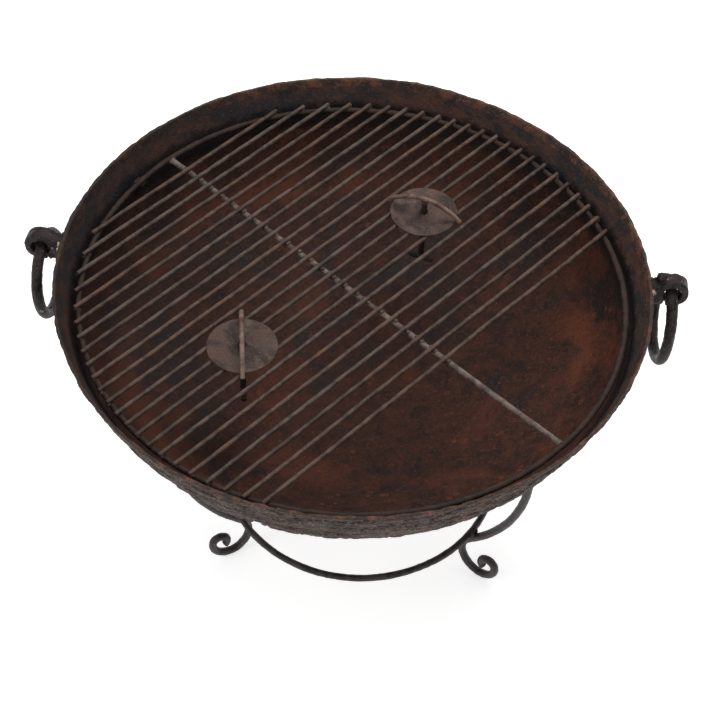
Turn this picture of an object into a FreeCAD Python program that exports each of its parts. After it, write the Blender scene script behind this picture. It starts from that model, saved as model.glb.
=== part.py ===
import FreeCAD, Part
import math
import os

# Iron fire bowl on a three-legged rod stand, with a lift-out grate and two grate lifters.
# Millimetres. +Z is up and the origin is on the floor under the bowl's centre.
# The ring handles are towards +X and -X, and the front is -Y.
# Outlines are drawn in the XZ plane as (distance from the axis, height) pairs.

TOUCH = 0.05          # how far two welded rods press into each other
REST_GAP = 0.3        # space left between loose parts that rest on each other

# Bowl: three tangent arcs, steep at the lip and shallow at the base. It sits slightly tipped
# in its stand, the right handle lower than the left, and all that it carries tips with it.
BOWL_TIP = 1.6        # degrees towards +X
RIM_RADIUS = 400.0
RIM_HEIGHT = 510.0    # at the middle of the rim
BOWL_THICKNESS = 4.5
LIP_CROWN = 1.2
LIP_SLOPE = 20.0      # degrees between the wall and the vertical, at the lip
KNUCKLE_SLOPE = 25.0  # where the wall meets the knuckle
BASE_SLOPE = 58.0     # where the knuckle meets the base
WALL_RADIUS = 1000.0
KNUCKLE_RADIUS = 150.0

# Ring handles, each hung in a strap eye that is welded under the lip
HANDLE_AZIMUTHS = {"right": 5.1, "left": 176.7}
EYE_WIDTH = 20.0
EYE_HOLE_RADIUS = 12.5
EYE_THICKNESS = 10.5
EYE_REACH = 427.0         # from the bowl's axis to the centre of the curl
EYE_DROP = 14.0           # from the rim to the centre of the curl
EYE_SLIT_WIDTH = 1.5
EYE_SLIT_ANGLE = -118.0
# Outline of the eye's root from the centre of the curl, run into the wall and then trimmed to it
EYE_ROOT = [
    (-58.0, 9.0), (-30.0, 9.5), (-7.9, 21.6), (0.0, 0.0),
    (-18.9, -13.1), (-42.0, -23.0), (-58.0, -23.0),
]
RING_RADIUS = 55.5
RING_ROD_RADIUS = 7.75
RING_LEAN = 4.8           # degrees that a ring at rest leans in towards the bowl
RING_SAG = 3.2            # how far the ring's rod sits below the centre of the curl

# Grate: one ring, one crossbar under it all, and rods laid side by side on top
GRATE_DROP = 37.0         # from the rim to the centre of the grate's ring
GRATE_RING_RADIUS = 367.0
GRATE_RING_ROD_RADIUS = 4.0
BAR_ROD_RADIUS = 3.0
BAR_DIRECTION = 51.4      # degrees from +X
BAR_COUNT = 23
FIRST_BAR_OFFSET = -328.1
CLOSE_PITCH = 21.9
CLOSE_GAPS = 16
WIDE_PITCH = 24.2
BAR_OVERHANG = 2.0        # how far the bars reach past the ring's outer edge
CROSSBAR_OFFSET = 2.8     # along the bars from the centre
# Lugs inside the bowl's wall, for the grate's ring to rest on
LUG_AZIMUTHS = [30.0, 150.0, 270.0]
LUG_WIDTH = 12.0
LUG_THICKNESS = 4.0
LUG_START = 363.0         # distances from the axis, the second one within the wall
LUG_END = 380.5

# Lifters: a guard disc, and a T-shaped grip, stem and toggle that turn in it
LIFTER_GAP = 14           # both stems hang in the gap after this many bars
LIFTERS = {
    "front": {"along_bars": -175.6, "direction": -81.5, "span": 117.0},
    "rear": {"along_bars": 175.0, "direction": -18.0, "span": 107.0},
}
GUARD_RADIUS = 47.0
GUARD_THICKNESS = 2.0
GUARD_HOLE_RADIUS = 5.5
GRIP_ROD_RADIUS = 3.25
GRIP_RISE = 23.0          # from the guard to the middle of the grip
GRIP_END_RISE = 0.5       # from the guard to the ends of the grip
STEM_RADIUS = 4.0
STEM_DROP = 88.0          # from the guard to the toggle
TOGGLE_RADIUS = 3.5
TOGGLE_LENGTH = 36.0

# Stand
TOP_RING_RADIUS = 273.0
STAND_ROD_RADIUS = 6.0
LEG_AZIMUTHS = [-30.7, -150.7, 89.3]
LEG_TOP_RISE = 7.0        # how far a leg stands above the top ring's centre
LEG_SHOULDER_DROP = 47.0  # from the top ring's centre to where a leg starts to curve in
LEG_SHIN_RADIUS = 306.5
LEG_FOOT_CENTRE = 225.0   # distance from the axis to the centre of the outward sweep
SWEEP_RADIUS = 41.75
HOOP_HEIGHT = 91.0
HOOP_ROD_RADIUS = 5.0
SCROLL_RADIUS = 26.0
CURL_RADIUS = 11.6
CURL_START = 15.0         # degrees above the horizontal where the scroll tightens
CURL_END = 235.0
FOOT_WEAR = 0.5           # depth of the flat worn under each scroll


def at_angle(centre, radius, degrees):
    """Point on a circle, as a (distance, height) pair."""
    angle = math.radians(degrees)
    return (centre[0] + radius * math.cos(angle), centre[1] + radius * math.sin(angle))


def in_xz(point):
    return FreeCAD.Vector(point[0], 0, point[1])


def arc(centre, radius, start, end):
    """Circular edge in the XZ plane, from one angle to another."""
    angles = (start, (start + end) / 2, end)
    return Part.Arc(*[in_xz(at_angle(centre, radius, a)) for a in angles]).toShape()


def line(start, end):
    return Part.makeLine(in_xz(start), in_xz(end))


def about_z(shape, degrees):
    shape.rotate(FreeCAD.Vector(0, 0, 0), FreeCAD.Vector(0, 0, 1), degrees)
    return shape


def rod_along(edges, radius):
    """Round rod swept along tangent edges in the XZ plane."""
    path = Part.Wire(edges)
    first = edges[0]
    start = first.valueAt(first.FirstParameter)
    section = Part.Wire(Part.makeCircle(radius, start, first.tangentAt(first.FirstParameter)))
    return path.makePipeShell([section], True, True)


def straight_rod(start, end, radius):
    return Part.makeCylinder(radius, (end - start).Length, start, end - start)


def hoop(radius, rod_radius, height):
    return Part.makeTorus(radius, rod_radius, FreeCAD.Vector(0, 0, height))


def save(name, shape):
    if not shape.isValid() or shape.Volume <= 0:
        raise ValueError(name + " is not a sound solid")
    shape.exportStep("parts/" + name + ".step")


def bowl_centres():
    """Centres of the wall, knuckle and base arcs, and the radius of the base arc."""
    wall = at_angle((RIM_RADIUS, RIM_HEIGHT), WALL_RADIUS, 180 - LIP_SLOPE)
    knuckle = at_angle(wall, WALL_RADIUS - KNUCKLE_RADIUS, -KNUCKLE_SLOPE)
    base_shift = knuckle[0] / math.cos(math.radians(BASE_SLOPE))
    base = at_angle(knuckle, base_shift, 180 - BASE_SLOPE)
    return wall, knuckle, base, KNUCKLE_RADIUS + base_shift


WALL_CENTRE, KNUCKLE_CENTRE, BASE_CENTRE, BASE_RADIUS = bowl_centres()


def bowl_arcs(inset):
    """Edges of the bowl's profile from the bottom to the lip, moved in by inset."""
    lip_depth = WALL_CENTRE[1] - RIM_HEIGHT + LIP_CROWN
    lip_angle = -math.degrees(math.asin(lip_depth / (WALL_RADIUS - inset)))
    return [
        arc(BASE_CENTRE, BASE_RADIUS - inset, -90, -BASE_SLOPE),
        arc(KNUCKLE_CENTRE, KNUCKLE_RADIUS - inset, -BASE_SLOPE, -KNUCKLE_SLOPE),
        arc(WALL_CENTRE, WALL_RADIUS - inset, -KNUCKLE_SLOPE, lip_angle),
    ]


def end_of(edges):
    return edges[-1].valueAt(edges[-1].LastParameter)


def start_of(edges):
    return edges[0].valueAt(edges[0].FirstParameter)


def turned(edges):
    """Solid of revolution about Z of a closed outline."""
    outline = Part.Wire(Part.__sortEdges__(edges))
    return Part.Face(outline).revolve(FreeCAD.Vector(0, 0, 0), FreeCAD.Vector(0, 0, 1), 360)


def save_tipped(name, shape):
    shape.rotate(FreeCAD.Vector(0, 0, RIM_HEIGHT), FreeCAD.Vector(0, 1, 0), BOWL_TIP)
    save(name, shape)


def bowl_shell():
    outer = bowl_arcs(0)
    inner = bowl_arcs(BOWL_THICKNESS)
    lip_outer = end_of(outer)
    lip_inner = end_of(inner)
    crown = FreeCAD.Vector((lip_outer.x + lip_inner.x) / 2, 0, RIM_HEIGHT)
    lip = Part.Arc(lip_outer, crown, lip_inner).toShape()
    floor = Part.makeLine(start_of(inner), start_of(outer))
    return turned(outer + [lip] + inner + [floor])


def bowl_blank():
    """The bowl as if it were filled to the lip, for trimming what is welded to it."""
    outer = bowl_arcs(0)
    lip = end_of(outer)
    top = FreeCAD.Vector(0, 0, lip.z)
    return turned(outer + [Part.makeLine(lip, top), Part.makeLine(top, start_of(outer))])


def eye():
    """Strap curled into an eye, with its root flared down the bowl's wall. Made towards +X."""
    centre = (EYE_REACH, RIM_HEIGHT - EYE_DROP)
    across = FreeCAD.Vector(0, EYE_WIDTH, 0)
    start = FreeCAD.Vector(centre[0], -EYE_WIDTH / 2, centre[1])
    y_axis = FreeCAD.Vector(0, 1, 0)
    curl = Part.makeCylinder(EYE_HOLE_RADIUS + EYE_THICKNESS, EYE_WIDTH, start, y_axis)
    hole = Part.makeCylinder(EYE_HOLE_RADIUS, EYE_WIDTH, start, y_axis)
    corners = [start + FreeCAD.Vector(x, 0, z) for x, z in EYE_ROOT]
    root = Part.Face(Part.makePolygon(corners + corners[:1])).extrude(across)
    slit = Part.makeBox(2 * EYE_HOLE_RADIUS, EYE_WIDTH, EYE_SLIT_WIDTH, start)
    slit.rotate(start, y_axis, -EYE_SLIT_ANGLE)
    return curl.fuse(root).cut(hole).cut(slit).cut(bowl_blank()).removeSplitter()


def ring():
    """Ring hanging in the eye towards +X, across the radius, with its foot leaning in a little."""
    pivot = FreeCAD.Vector(EYE_REACH, 0, RIM_HEIGHT - EYE_DROP - RING_SAG)
    centre = pivot - FreeCAD.Vector(0, 0, RING_RADIUS)
    shape = Part.makeTorus(RING_RADIUS, RING_ROD_RADIUS, centre, FreeCAD.Vector(1, 0, 0))
    shape.rotate(pivot, FreeCAD.Vector(0, 1, 0), RING_LEAN)
    return shape


def lug():
    """Small shelf towards +X, welded inside the wall just under the grate's ring."""
    top = RIM_HEIGHT - GRATE_DROP - GRATE_RING_ROD_RADIUS - REST_GAP
    corner = FreeCAD.Vector(LUG_START, -LUG_WIDTH / 2, top - LUG_THICKNESS)
    return Part.makeBox(LUG_END - LUG_START, LUG_WIDTH, LUG_THICKNESS, corner).cut(bowl_shell())


def build_bowl():
    save_tipped("bowl_shell", bowl_shell())
    for number, azimuth in enumerate(LUG_AZIMUTHS, start=1):
        save_tipped("grate_lug_%d" % number, about_z(lug(), azimuth))
    for side, azimuth in HANDLE_AZIMUTHS.items():
        save_tipped("eye_" + side, about_z(eye(), azimuth))
        save_tipped("ring_" + side, about_z(ring(), azimuth))


GRATE_RING_HEIGHT = RIM_HEIGHT - GRATE_DROP
BAR_HEIGHT = GRATE_RING_HEIGHT + GRATE_RING_ROD_RADIUS + BAR_ROD_RADIUS - TOUCH


def bar_offset(index):
    """Sideways place of a bar, counted from 0. The last few bars stand further apart."""
    close = min(index, CLOSE_GAPS)
    return FIRST_BAR_OFFSET + close * CLOSE_PITCH + (index - close) * WIDE_PITCH


def on_grate(along, offset, height):
    """Point at a distance along the bars and an offset to the right of the middle one."""
    angle = math.radians(BAR_DIRECTION)
    x = along * math.cos(angle) + offset * math.sin(angle)
    y = along * math.sin(angle) - offset * math.cos(angle)
    return FreeCAD.Vector(x, y, height)


def build_grate():
    save_tipped("grate_ring", hoop(GRATE_RING_RADIUS, GRATE_RING_ROD_RADIUS, GRATE_RING_HEIGHT))
    bar_reach = GRATE_RING_RADIUS + GRATE_RING_ROD_RADIUS + BAR_OVERHANG
    for index in range(BAR_COUNT):
        offset = bar_offset(index)
        half = math.sqrt(bar_reach ** 2 - offset ** 2)
        start = on_grate(-half, offset, BAR_HEIGHT)
        end = on_grate(half, offset, BAR_HEIGHT)
        save_tipped("grate_bar_%02d" % (index + 1), straight_rod(start, end, BAR_ROD_RADIUS))
    half = math.sqrt((GRATE_RING_RADIUS - GRATE_RING_ROD_RADIUS + TOUCH) ** 2 - CROSSBAR_OFFSET ** 2)
    start = on_grate(CROSSBAR_OFFSET, -half, GRATE_RING_HEIGHT)
    end = on_grate(CROSSBAR_OFFSET, half, GRATE_RING_HEIGHT)
    save_tipped("grate_crossbar", straight_rod(start, end, GRATE_RING_ROD_RADIUS))


def grip(span):
    """Arched rod along X over the origin, whose ends come down just past the guard."""
    rise = GRIP_RISE - GRIP_END_RISE
    radius = (span ** 2 / 4 + rise ** 2) / (2 * rise)
    half_angle = math.degrees(math.asin(span / 2 / radius))
    centre = (0, GRIP_RISE - radius)
    return rod_along([arc(centre, radius, 90 + half_angle, 90 - half_angle)], GRIP_ROD_RADIUS)


def guard():
    base = FreeCAD.Vector(0, 0, -GUARD_THICKNESS)
    disc = Part.makeCylinder(GUARD_RADIUS, GUARD_THICKNESS, base)
    return disc.cut(Part.makeCylinder(GUARD_HOLE_RADIUS, GUARD_THICKNESS, base))


def build_lifters():
    """Each lifter is made over the origin with the guard's top at height 0, then put in its place."""
    gap_offset = (bar_offset(LIFTER_GAP) + bar_offset(LIFTER_GAP - 1)) / 2
    guard_top = BAR_HEIGHT + BAR_ROD_RADIUS + REST_GAP + GUARD_THICKNESS
    toggle_height = -STEM_DROP - TOGGLE_RADIUS
    for name, place in LIFTERS.items():
        bent = grip(place["span"])
        toggle_start = FreeCAD.Vector(-TOGGLE_LENGTH / 2, 0, toggle_height)
        toggle_end = FreeCAD.Vector(TOGGLE_LENGTH / 2, 0, toggle_height)
        toggle = straight_rod(toggle_start, toggle_end, TOGGLE_RADIUS)
        stem = Part.makeCylinder(STEM_RADIUS, GRIP_RISE - toggle_height, FreeCAD.Vector(0, 0, toggle_height))
        pieces = {"guard": guard(), "grip": bent, "stem": stem.cut(bent).cut(toggle), "toggle": toggle}
        for piece, shape in pieces.items():
            about_z(shape, place["direction"])
            shape.translate(on_grate(place["along_bars"], gap_offset, guard_top))
            save_tipped(name + "_lifter_" + piece, shape)


TIP_ANGLE = math.radians(BOWL_TIP)
BASE_CENTRE_RISE = BASE_CENTRE[1] - RIM_HEIGHT
STAND_CENTRE = FreeCAD.Vector(BASE_CENTRE_RISE * math.sin(TIP_ANGLE), 0, 0)


def top_ring_height():
    """The base is part of a sphere, so it rests all round in the stand's top ring though it is tipped."""
    reach = BASE_RADIUS + STAND_ROD_RADIUS + REST_GAP
    centre_height = RIM_HEIGHT + BASE_CENTRE_RISE * math.cos(TIP_ANGLE)
    return centre_height - math.sqrt(reach ** 2 - TOP_RING_RADIUS ** 2)


TOP_RING_HEIGHT = top_ring_height()
LEG_RADIUS = TOP_RING_RADIUS + 2 * STAND_ROD_RADIUS - TOUCH
SHIN_CENTRE = (LEG_RADIUS - LEG_SHIN_RADIUS, TOP_RING_HEIGHT - LEG_SHOULDER_DROP)


def hoop_radius():
    """The lower hoop is welded to the inner sides of the shins."""
    reach = LEG_SHIN_RADIUS - STAND_ROD_RADIUS - HOOP_ROD_RADIUS + TOUCH
    return SHIN_CENTRE[0] + math.sqrt(reach ** 2 - (SHIN_CENTRE[1] - HOOP_HEIGHT) ** 2)


def leg_centres():
    """Centres of a leg's outward sweep, scroll and curl, and the angles where its arcs join."""
    reach = LEG_SHIN_RADIUS + SWEEP_RADIUS
    shin_turn = math.degrees(math.acos((LEG_FOOT_CENTRE - SHIN_CENTRE[0]) / reach))
    sweep = at_angle(SHIN_CENTRE, reach, -shin_turn)
    scroll_height = STAND_ROD_RADIUS - FOOT_WEAR + SCROLL_RADIUS
    sweep_turn = math.degrees(math.asin((sweep[1] - scroll_height) / (SWEEP_RADIUS - SCROLL_RADIUS)))
    scroll = at_angle(sweep, SWEEP_RADIUS - SCROLL_RADIUS, 180 + sweep_turn)
    curl = at_angle(scroll, SCROLL_RADIUS - CURL_RADIUS, CURL_START)
    return shin_turn, sweep, sweep_turn, scroll, curl


def leg():
    """S-shaped leg towards +X, with a scrolled foot whose underside is worn flat."""
    shin_turn, sweep, sweep_turn, scroll, curl = leg_centres()
    top = (LEG_RADIUS, TOP_RING_HEIGHT + LEG_TOP_RISE)
    edges = [
        line(top, (LEG_RADIUS, SHIN_CENTRE[1])),
        arc(SHIN_CENTRE, LEG_SHIN_RADIUS, 0, -shin_turn),
        arc(sweep, SWEEP_RADIUS, 180 - shin_turn, 180 + sweep_turn),
        arc(scroll, SCROLL_RADIUS, 180 + sweep_turn, 360 + CURL_START),
        arc(curl, CURL_RADIUS, CURL_START, CURL_END),
    ]
    rod = rod_along(edges, STAND_ROD_RADIUS)
    side = 2 * LEG_FOOT_CENTRE
    floor = Part.makeBox(side, side, side, FreeCAD.Vector(0, -side / 2, -side))
    return rod.cut(floor)


def save_on_stand(name, shape):
    shape.translate(STAND_CENTRE)
    save(name, shape)


def build_stand():
    save_on_stand("stand_top_ring", hoop(TOP_RING_RADIUS, STAND_ROD_RADIUS, TOP_RING_HEIGHT))
    save_on_stand("stand_lower_hoop", hoop(hoop_radius(), HOOP_ROD_RADIUS, HOOP_HEIGHT))
    for number, azimuth in enumerate(LEG_AZIMUTHS, start=1):
        save_on_stand("stand_leg_%d" % number, about_z(leg(), azimuth))


os.makedirs("parts", exist_ok=True)
build_bowl()
build_grate()
build_lifters()
build_stand()
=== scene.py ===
import math
from itertools import product

import bmesh
import bpy
import numpy as np
from mathutils import Matrix, Vector


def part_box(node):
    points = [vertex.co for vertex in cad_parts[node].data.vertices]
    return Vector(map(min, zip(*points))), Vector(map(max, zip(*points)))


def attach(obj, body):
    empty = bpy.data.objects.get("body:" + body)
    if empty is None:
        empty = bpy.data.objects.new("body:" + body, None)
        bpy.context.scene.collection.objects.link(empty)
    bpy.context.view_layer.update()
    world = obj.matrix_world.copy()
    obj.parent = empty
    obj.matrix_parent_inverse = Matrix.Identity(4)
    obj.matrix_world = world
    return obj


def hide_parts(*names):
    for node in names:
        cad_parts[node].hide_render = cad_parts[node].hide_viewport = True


# The looks of an iron fire bowl with a lift-out grate on a rod stand.
# Metres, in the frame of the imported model: +Z up, origin on the floor under the bowl.
# Every piece is rebuilt as a worn, slightly uneven mesh in the place of its CAD node.

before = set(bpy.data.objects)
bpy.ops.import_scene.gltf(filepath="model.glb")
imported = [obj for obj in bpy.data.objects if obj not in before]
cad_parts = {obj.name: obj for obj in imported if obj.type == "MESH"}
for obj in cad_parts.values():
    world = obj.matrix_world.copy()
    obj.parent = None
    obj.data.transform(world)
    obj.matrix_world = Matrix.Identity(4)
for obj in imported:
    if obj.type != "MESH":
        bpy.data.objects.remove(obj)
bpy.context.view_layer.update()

MM = 0.001


# ---------------------------------------------------------------- noise and small helpers

random_source = np.random.default_rng(11)
SHUFFLE = random_source.permutation(256)
GRADIENTS = random_source.normal(size=(256, 3))
GRADIENTS /= np.linalg.norm(GRADIENTS, axis=1)[:, None]


def lattice_noise(points):
    """Smooth gradient noise, about -0.5 to 0.5, one value for each row of points."""
    cell = np.floor(points).astype(int)
    inside = points - cell
    fade = inside ** 3 * (inside * (inside * 6 - 15) + 10)
    total = np.zeros(len(points))
    for corner in product((0, 1), repeat=3):
        x, y, z = ((cell + corner) & 255).T
        index = SHUFFLE[(SHUFFLE[(SHUFFLE[x] + y) & 255] + z) & 255]
        slope = np.einsum("ij,ij->i", GRADIENTS[index], inside - corner)
        total += slope * np.prod(np.where(corner, fade, 1 - fade), axis=1)
    return total


def rough(points, size, octaves=4, shift=0.0):
    """Layered noise whose largest lumps are about size across."""
    total = np.zeros(len(points))
    for octave in range(octaves):
        total += lattice_noise(points / size * 2 ** octave + shift + 19.7 * octave) * 0.5 ** octave
    return total


def polar(radius, degrees, height):
    angle = math.radians(degrees)
    return Vector((radius * math.cos(angle), radius * math.sin(angle), height))


def middle(node):
    low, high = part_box(node)
    return (low + high) / 2


def size_of(node):
    low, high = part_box(node)
    return high - low


# ---------------------------------------------------------------- sizes

RIM_RADIUS = size_of("bowl_shell").y / 2
SHELL = 4.5 * MM
WALL_RADIUS = 1.0
KNUCKLE_RADIUS = 0.150
LIP_SLOPE, KNUCKLE_SLOPE, BASE_SLOPE = 20, 25, 58

# The bowl sits tipped towards +X in its level stand. What it carries is made upright, then tipped.
BOWL_TIP = math.radians(1.6)
RIM_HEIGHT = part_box("bowl_shell")[1].z - RIM_RADIUS * math.sin(BOWL_TIP)
RIM_CENTRE = Vector((0, 0, RIM_HEIGHT))
TIP = Matrix.Translation(RIM_CENTRE) @ Matrix.Rotation(BOWL_TIP, 4, "Y") @ Matrix.Translation(-RIM_CENTRE)
UNTIP = TIP.inverted()
STAND_CENTRE = Vector((middle("stand_top_ring").x, middle("stand_top_ring").y, 0))

BAR_DIRECTION = 51.4
BAR_COUNT = 23
BAR_ROD = 3 * MM
BAR_OVERHANG = 2 * MM
FRAME_ROD = 4 * MM
EYE_CURL_RADIUS = 23 * MM
EYE_HOLE_RADIUS = 12.5 * MM
EYE_WIDTH = 20 * MM
EYE_REACH = 0.427
EYE_DROP = 14 * MM
EYE_LUMP = 8 * MM
HANDLE_AZIMUTH = {"right": 5.1, "left": 176.7}
LUG_AZIMUTH = {"grate_lug_1": 30.0, "grate_lug_2": 150.0, "grate_lug_3": 270.0}
LUG_DROP = 41.3 * MM
LUG_REACH = 0.363
LUG_THICKNESS = 4 * MM
LUG_HALF_WIDTH = 6 * MM
RING_RADIUS = 55.5 * MM
RING_ROD = 7.75 * MM
RING_LEAN = math.radians(4.8)
LEG_AZIMUTH = {"stand_leg_1": -30.7, "stand_leg_2": -150.7, "stand_leg_3": 89.3}
GRIP_DIRECTION = {"front": -81.5, "rear": -18.0}
GRIP_SPAN = {"front": 0.117, "rear": 0.107}
GRIP_ROD = 3.25 * MM
GRIP_RISE = 23 * MM
GRIP_END_RISE = 0.5 * MM
GUARD_RADIUS = 47 * MM
GUARD_HOLE = 5.5 * MM
GUARD_HALF = 1 * MM
STEM_ROD = 4 * MM
TOGGLE_ROD = 3.5 * MM
TOGGLE_REACH = 18 * MM
TOGGLE_DROP = 91.5 * MM

LEG_SHOULDER_DROP = 47 * MM
LEG_CURL_END = math.radians(235)
SHIN_RADIUS = 306.5 * MM
SWEEP_DISTANCE = 225 * MM
SWEEP_RADIUS = 41.75 * MM
SCROLL_RADIUS = 26 * MM
CURL_RADIUS = 11.6 * MM


def upright(node):
    """Middle of a node that the bowl carries, before the bowl is tipped."""
    return UNTIP @ middle(node)


# ---------------------------------------------------------------- materials

def colour(red, green, blue):
    """A colour given as 0 to 255 on screen, as the linear values that nodes take."""
    parts = [c / 255 for c in (red, green, blue)]
    return [c / 12.92 if c <= 0.04045 else ((c + 0.055) / 1.055) ** 2.4 for c in parts] + [1.0]


class Paint:
    """A procedural material, built node by node on the piece's own coordinates in metres."""

    def __init__(self, name):
        self.material = bpy.data.materials.new(name)
        self.material.use_nodes = True
        self.tree = self.material.node_tree
        self.shader = self.tree.nodes["Principled BSDF"]
        self.place = self.tree.nodes.new("ShaderNodeTexCoord").outputs["Object"]

    def node(self, kind, inputs=None, **settings):
        made = self.tree.nodes.new(kind)
        for key, value in settings.items():
            setattr(made, key, value)
        for key, value in (inputs or {}).items():
            self.feed(made.inputs[key], value)
        return made

    def feed(self, socket, value):
        if isinstance(value, bpy.types.NodeSocket):
            self.tree.links.new(value, socket)
        else:
            socket.default_value = value

    def stretched(self, x, y, z):
        return self.node("ShaderNodeMapping", {"Vector": self.place, "Scale": (x, y, z)}).outputs[0]

    def noise(self, size, detail=6.0, roughness=0.6, distortion=0.0, place=None, shift=0.0):
        """Noise with lumps about size across, in metres. shift picks another stretch of it."""
        where = place or self.place
        if shift:
            where = self.node("ShaderNodeVectorMath", {0: where, 1: (shift, shift, shift)}, operation="ADD")
            where = where.outputs[0]
        inputs = {"Vector": where, "Scale": 1 / size, "Detail": detail, "Roughness": roughness}
        inputs["Distortion"] = distortion
        return self.node("ShaderNodeTexNoise", inputs).outputs["Fac"]

    def cells(self, size, place=None):
        """Distance to the middle of the nearest of many scattered cells, in cells of a size in metres."""
        inputs = {"Vector": place or self.place, "Scale": 1 / size}
        return self.node("ShaderNodeTexVoronoi", inputs).outputs["Distance"]

    def between(self, value, low, high):
        """Goes from 0 where value is low to 1 where it is high."""
        inputs = {"Value": value, "From Min": low, "From Max": high}
        return self.node("ShaderNodeMapRange", inputs, interpolation_type="SMOOTHSTEP").outputs[0]

    def maths(self, operation, first, second=0.0):
        return self.node("ShaderNodeMath", {0: first, 1: second}, operation=operation).outputs[0]

    def mix(self, amount, first, second, blend="MIX"):
        made = self.node("ShaderNodeMix", data_type="RGBA", blend_type=blend)
        self.feed(made.inputs[0], amount)
        self.feed(made.inputs[6], first)
        self.feed(made.inputs[7], second)
        return made.outputs[2]

    def blend_values(self, amount, first, second):
        return self.node("ShaderNodeMix", {0: amount, 2: first, 3: second}).outputs[0]

    def bumps(self, *layers):
        """Each layer is (height value, depth in metres). They are stacked into one normal."""
        normal = None
        for height, depth in layers:
            inputs = {"Height": height, "Distance": depth, "Strength": 1.0}
            if normal is not None:
                inputs["Normal"] = normal
            normal = self.node("ShaderNodeBump", inputs).outputs[0]
        return normal

    def finish(self, base, roughness, normal, specular):
        self.feed(self.shader.inputs["Base Color"], base)
        self.feed(self.shader.inputs["Roughness"], roughness)
        self.feed(self.shader.inputs["Normal"], normal)
        self.shader.inputs["Specular IOR Level"].default_value = specular
        return self.material


def depth_in_bowl(paint):
    """Height of a point over the rim's plane, in the tipped bowl."""
    up = (math.sin(BOWL_TIP), 0, math.cos(BOWL_TIP))
    along = paint.node("ShaderNodeVectorMath", {0: paint.place, 1: up}, operation="DOT_PRODUCT")
    return paint.maths("SUBTRACT", along.outputs["Value"], RIM_HEIGHT * math.cos(BOWL_TIP))


def from_axis(paint):
    """Distance of a point from the bowl's axis."""
    level = paint.node("ShaderNodeVectorMath", {0: paint.place, 1: (1, 1, 0)}, operation="MULTIPLY")
    return paint.node("ShaderNodeVectorMath", {0: level.outputs[0]}, operation="LENGTH").outputs["Value"]


def painted_shade_side(paint):
    """1 on the side of the bowl towards -X, which is painted darker as shade, fading to 0 past the middle.
    """
    x = paint.node("ShaderNodeSeparateXYZ", {"Vector": paint.place}).outputs["X"]
    return paint.between(x, -0.08, -0.38)


def inside_iron():
    """Burnt and rusted inside of the bowl: fine brown and orange mottling, soot and small blisters."""
    p = Paint("inside_iron")
    clouds = p.noise(0.15, 9, 0.62, 0.5)
    mottle = p.noise(0.022, 10, 0.78, 0.6, shift=3.1)
    fine = p.noise(0.0045, 6, 0.74, shift=7.7)
    soot = p.noise(0.11, 10, 0.68, 0.9, shift=12.3)
    few = p.noise(0.045, 3, 0.5, shift=21.0)
    base = p.mix(p.between(mottle, 0.36, 0.64), colour(36, 21, 16), colour(74, 41, 29))
    base = p.mix(p.maths("MULTIPLY", p.between(clouds, 0.48, 0.64), 0.8), base, colour(88, 46, 29))
    base = p.mix(p.maths("MULTIPLY", p.between(soot, 0.50, 0.62), 0.9), base, colour(33, 28, 28))
    arc = p.maths("MULTIPLY", p.between(from_axis(p), 0.292, 0.312), p.between(from_axis(p), 0.342, 0.322))
    arc = p.maths("MULTIPLY", arc, p.between(clouds, 0.42, 0.58))
    base = p.mix(p.maths("MULTIPLY", arc, 0.6), base, colour(104, 54, 33))
    base = p.mix(p.maths("MULTIPLY", p.between(fine, 0.53, 0.70), 0.7), base, colour(112, 62, 40))
    base = p.mix(p.maths("MULTIPLY", p.between(fine, 0.46, 0.33), 0.8), base, colour(24, 17, 15))
    blisters = p.cells(0.015)
    edge = p.maths("MULTIPLY", p.between(blisters, 0.12, 0.18), p.between(blisters, 0.30, 0.21))
    edge = p.maths("MULTIPLY", edge, p.between(few, 0.56, 0.64))
    base = p.mix(p.maths("MULTIPLY", edge, 0.45), base, colour(128, 70, 42))
    specks = p.maths("MULTIPLY", p.between(p.cells(0.010), 0.12, 0.07), p.between(few, 0.44, 0.37))
    base = p.mix(p.maths("MULTIPLY", specks, 0.35), base, colour(150, 124, 108))
    ragged = p.maths("ADD", depth_in_bowl(p), p.maths("MULTIPLY", p.maths("SUBTRACT", mottle, 0.5), 0.05))
    wall = p.between(ragged, -0.060, -0.040)
    wall_mottle = p.noise(0.05, 9, 0.68, 0.4, place=p.stretched(1, 1, 1.6), shift=5.0)
    wall_base = p.mix(p.between(wall_mottle, 0.42, 0.60), colour(44, 40, 42), colour(78, 52, 42))
    wall_base = p.mix(p.between(soot, 0.52, 0.6), wall_base, colour(36, 32, 34))
    wall_base = p.mix(p.maths("MULTIPLY", p.between(fine, 0.52, 0.72), 0.5), wall_base, colour(112, 82, 68))
    wall_base = p.mix(p.maths("MULTIPLY", p.between(fine, 0.44, 0.32), 0.6), wall_base, colour(34, 28, 28))
    base = p.mix(wall, base, wall_base)
    # Painted shade: the inside is darkened on the side towards -X, where less light falls.
    base = p.mix(p.maths("MULTIPLY", painted_shade_side(p), 0.42), base, colour(24, 18, 17))
    shadow = p.between(depth_in_bowl(p), -0.074, -0.058)
    shadow = p.maths("MULTIPLY", shadow, p.between(ragged, -0.030, -0.040))
    base = p.mix(p.maths("MULTIPLY", shadow, 0.88), base, colour(17, 13, 12))
    pits = p.cells(0.006)
    shine = p.blend_values(p.between(soot, 0.5, 0.66), 0.66, 0.46)
    shine = p.blend_values(p.between(mottle, 0.4, 0.7), shine, 0.75)
    relief = p.bumps((p.between(pits, 0.0, 0.35), 0.0006), (mottle, 0.0016), (fine, 0.0011))
    return p.finish(base, shine, relief, 0.3)


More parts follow.
